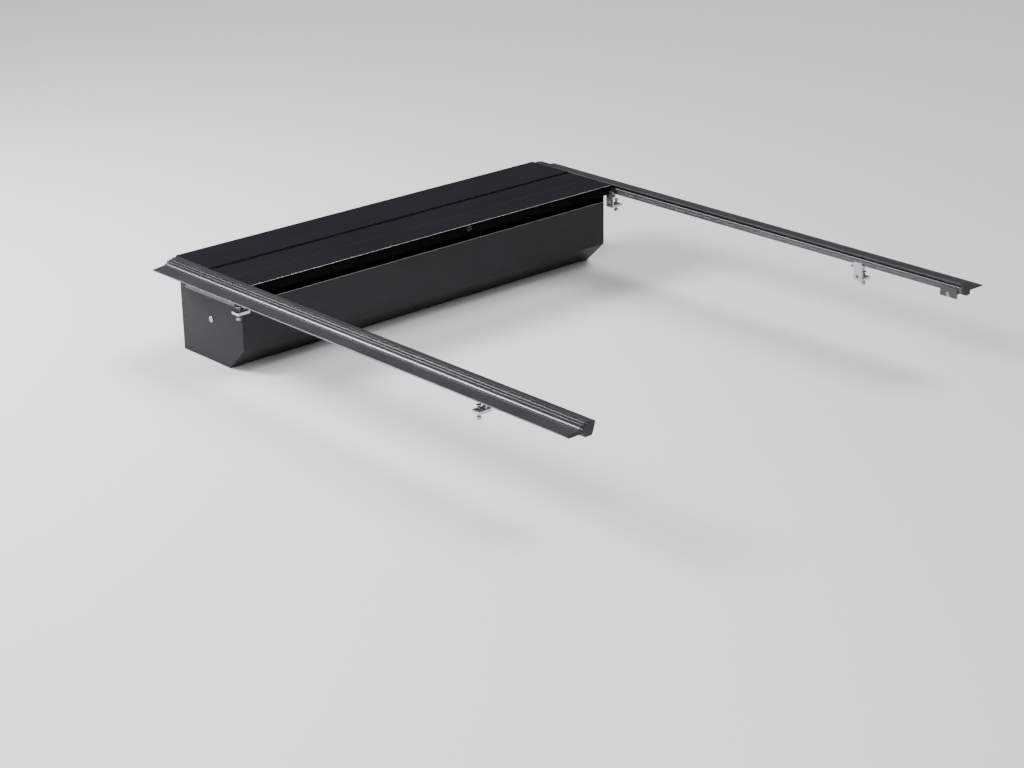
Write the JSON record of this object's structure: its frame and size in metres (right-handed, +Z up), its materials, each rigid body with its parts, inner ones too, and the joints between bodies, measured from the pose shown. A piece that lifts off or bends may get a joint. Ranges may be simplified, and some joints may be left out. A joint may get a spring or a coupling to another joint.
{
  "type": "retractable tonneau cover",
  "caption": "Roll-up pickup bed cover: two side rails, a bulkhead canister with a spring roller and coiled slats, and a sliding latched leading bar, shown open.",
  "frame": {"origin": "the middle of the bulkhead seal's flat underside, on the vehicle's centreline, in the plane of the bed caps that the rails rest on", "axes": "+Z up, +Y towards the cab along the rails, +X towards the passenger side; the cover closes along -Y"},
  "size_m": [1.6312, 1.802, 0.286],
  "materials": {
    "powder_coat": "satin black textured powder coat on extruded aluminium",
    "slat_coat": "matte black powder coat on aluminium slats",
    "canister_coat": "satin charcoal coating on sheet aluminium",
    "bright_aluminium": "mill finish cut extrusion",
    "zinc_steel": "bright zinc plated",
    "spring_steel": "oiled spring wire",
    "black_zinc": "black zinc plated",
    "black_plastic": "moulded black nylon",
    "black_rubber": "black rubber seal"
  },
  "bodies": {
    "frame": {"left_rail": "powder_coat", "right_rail": "powder_coat", "left_rail_seal": "black_rubber", "right_rail_seal": "black_rubber", "left_rail_end_plug": "black_plastic", "right_rail_end_plug": "black_plastic", "front_deck_panel": "slat_coat", "bulkhead_seal": "black_rubber", "mouth_wiper": "black_rubber", "canister_face_panel": "canister_coat", "canister_bottom_pan": "canister_coat", "canister_front_wall": "canister_coat", "left_end_plate": "canister_coat", "right_end_plate": "canister_coat", "left_canister_bracket": "powder_coat", "right_canister_bracket": "powder_coat", "roller_axle": "zinc_steel", "left_roller_bearing": "zinc_steel", "right_roller_bearing": "zinc_steel", "torsion_spring": "spring_steel", "left_front_clamp": "bright_aluminium", "left_rear_clamp": "bright_aluminium", "right_front_clamp": "bright_aluminium", "right_rear_clamp": "bright_aluminium", "left_tail_bracket": "powder_coat", "right_tail_bracket": "powder_coat", "left_tail_bolt": "zinc_steel", "right_tail_bolt": "zinc_steel"},
    "cover": {"leading_bar": "powder_coat", "leading_bar_seal": "black_rubber", "slat_01": "slat_coat", "left_glide": "black_plastic", "right_glide": "black_plastic", "left_latch_spring": "spring_steel", "right_latch_spring": "spring_steel"},
    "mouth_slat": {"slat_02": "slat_coat"},
    "roller": {"roller_tube": "bright_aluminium", "slat_03": "slat_coat", "slat_04": "slat_coat", "slat_05": "slat_coat", "slat_06": "slat_coat", "slat_07": "slat_coat", "slat_08": "slat_coat", "slat_09": "slat_coat", "slat_10": "slat_coat", "slat_11": "slat_coat", "slat_12": "slat_coat", "slat_13": "slat_coat", "slat_14": "slat_coat", "slat_15": "slat_coat", "slat_16": "slat_coat"},
    "handle": {"pull_handle": "black_plastic"},
    "left_latch": {"left_latch_bolt": "zinc_steel"},
    "right_latch": {"right_latch_bolt": "zinc_steel"},
    "lock": {"lock_cylinder": "black_zinc"},
    "left_front_screw": {"left_front_clamp_screw": "zinc_steel"},
    "left_rear_screw": {"left_rear_clamp_screw": "zinc_steel"},
    "right_front_screw": {"right_front_clamp_screw": "zinc_steel"},
    "right_rear_screw": {"right_rear_clamp_screw": "zinc_steel"}
  },
  "joints": [
    {"name": "cover_slide", "type": "slide", "parent": "frame", "child": "cover", "axis": [0, -1, 0], "range_m": [0, 1.39]},
    {"name": "roller_spin", "type": "hinge", "parent": "frame", "child": "roller", "pos_m": [0, -0.168, -0.13], "axis": [1, 0, 0], "range_deg": [0, 906]},
    {"name": "mouth_slat_hinge", "type": "hinge", "parent": "cover", "child": "mouth_slat", "pos_m": [0, -0.17, 0.0189], "axis": [1, 0, 0], "range_deg": [0, 10]},
    {"name": "handle_pull", "type": "hinge", "parent": "cover", "child": "handle", "pos_m": [0, -0.3325, -0.008], "axis": [1, 0, 0], "range_deg": [0, 35], "stiffness_Nm_per_rad": 0.5, "springref_deg": -8.59},
    {"name": "left_latch_slide", "type": "slide", "parent": "cover", "child": "left_latch", "axis": [1, 0, 0], "range_m": [0, 0.008], "deforming": ["left_latch_spring"]},
    {"name": "right_latch_slide", "type": "slide", "parent": "cover", "child": "right_latch", "axis": [-1, 0, 0], "range_m": [0, 0.008], "deforming": ["right_latch_spring"]},
    {"name": "lock_turn", "type": "hinge", "parent": "cover", "child": "lock", "pos_m": [0.11, -0.366, 0.008], "axis": [0, 1, 0], "range_deg": [0, 90]},
    {"name": "left_front_clamp_travel", "type": "slide", "parent": "frame", "child": "left_front_screw", "axis": [0, 0, -1], "range_m": [0, 0.0115]},
    {"name": "left_rear_clamp_travel", "type": "slide", "parent": "frame", "child": "left_rear_screw", "axis": [0, 0, -1], "range_m": [0, 0.0115]},
    {"name": "right_front_clamp_travel", "type": "slide", "parent": "frame", "child": "right_front_screw", "axis": [0, 0, -1], "range_m": [0, 0.0115]},
    {"name": "right_rear_clamp_travel", "type": "slide", "parent": "frame", "child": "right_rear_screw", "axis": [0, 0, -1], "range_m": [0, 0.0115]}
  ],
  "couplings": [
    {"joint": "roller_spin", "follows": "cover_slide", "rad_per_m": 11.36},
    {"joint": "mouth_slat_hinge", "follows": "cover_slide", "rad_per_m": 0.1255},
    {"joint": "left_latch_slide", "follows": "handle_pull", "m_per_rad": 0.013},
    {"joint": "right_latch_slide", "follows": "handle_pull", "m_per_rad": 0.013}
  ]
}
